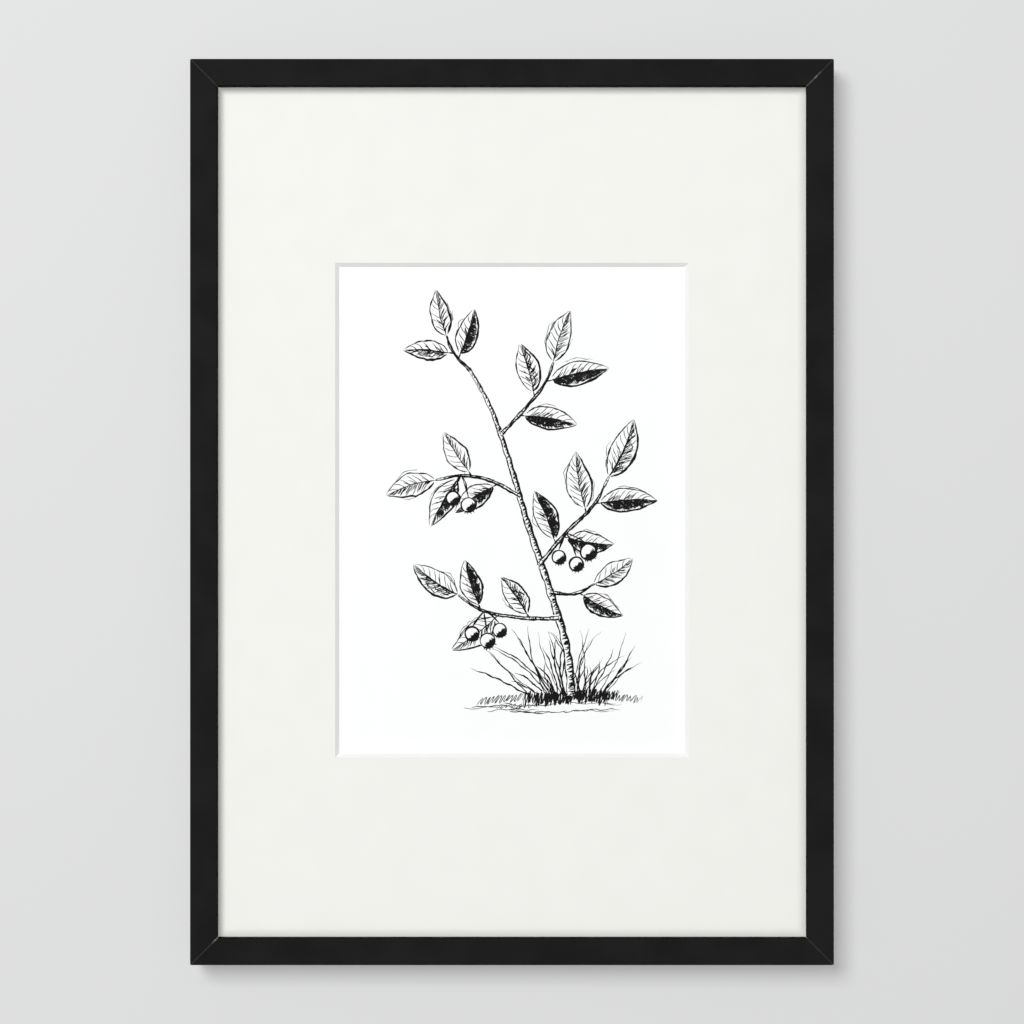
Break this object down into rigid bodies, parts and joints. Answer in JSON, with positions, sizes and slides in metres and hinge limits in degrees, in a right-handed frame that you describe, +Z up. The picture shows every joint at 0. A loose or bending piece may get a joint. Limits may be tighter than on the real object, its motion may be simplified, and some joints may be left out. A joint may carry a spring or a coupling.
{
  "type": "framed print",
  "caption": "Black mitred wooden picture frame with glass, an off-white window mat and a small ink print, hung from a sawtooth hanger.",
  "frame": {"origin": "on the wall nail's axis, where the middle notch of the sawtooth hanger rests, in the plane of the frame's back", "axes": "+X to the right seen from the front, +Y from the front towards the wall, +Z up along the frame's long side"},
  "size_m": [0.368, 0.022, 0.518],
  "materials": {
    "rail_paint": "satin black painted wood",
    "glass": "clear, polished",
    "mat_card": "off-white, matt, with a white bevel",
    "print_paper": "white, matt, printed in black ink",
    "hinge_tape": "cream gummed paper",
    "mount_card": "white, matt",
    "hardboard": "brown pressed fibre",
    "bright_steel": "bright",
    "zinc_plate": "dull zinc plating"
  },
  "bodies": {
    "root": {"rail_top": "rail_paint", "rail_bottom": "rail_paint", "rail_left": "rail_paint", "rail_right": "rail_paint", "v_nail_top_left": "bright_steel", "v_nail_top_right": "bright_steel", "v_nail_bottom_left": "bright_steel", "v_nail_bottom_right": "bright_steel", "glazing": "glass", "window_mat": "mat_card", "print_sheet": "print_paper", "hinge_strip_left": "hinge_tape", "hinge_strip_right": "hinge_tape", "hinge_cross_left": "hinge_tape", "hinge_cross_right": "hinge_tape", "mount_board": "mount_card", "backing_board": "hardboard", "tab_top_1": "bright_steel", "tab_top_2": "bright_steel", "tab_bottom_1": "bright_steel", "tab_bottom_2": "bright_steel", "tab_left_1": "bright_steel", "tab_left_2": "bright_steel", "tab_left_3": "bright_steel", "tab_right_1": "bright_steel", "tab_right_2": "bright_steel", "tab_right_3": "bright_steel", "sawtooth_hanger": "zinc_plate", "hanger_rivet_left": "bright_steel", "hanger_rivet_right": "bright_steel"}
  },
  "joints": []
}
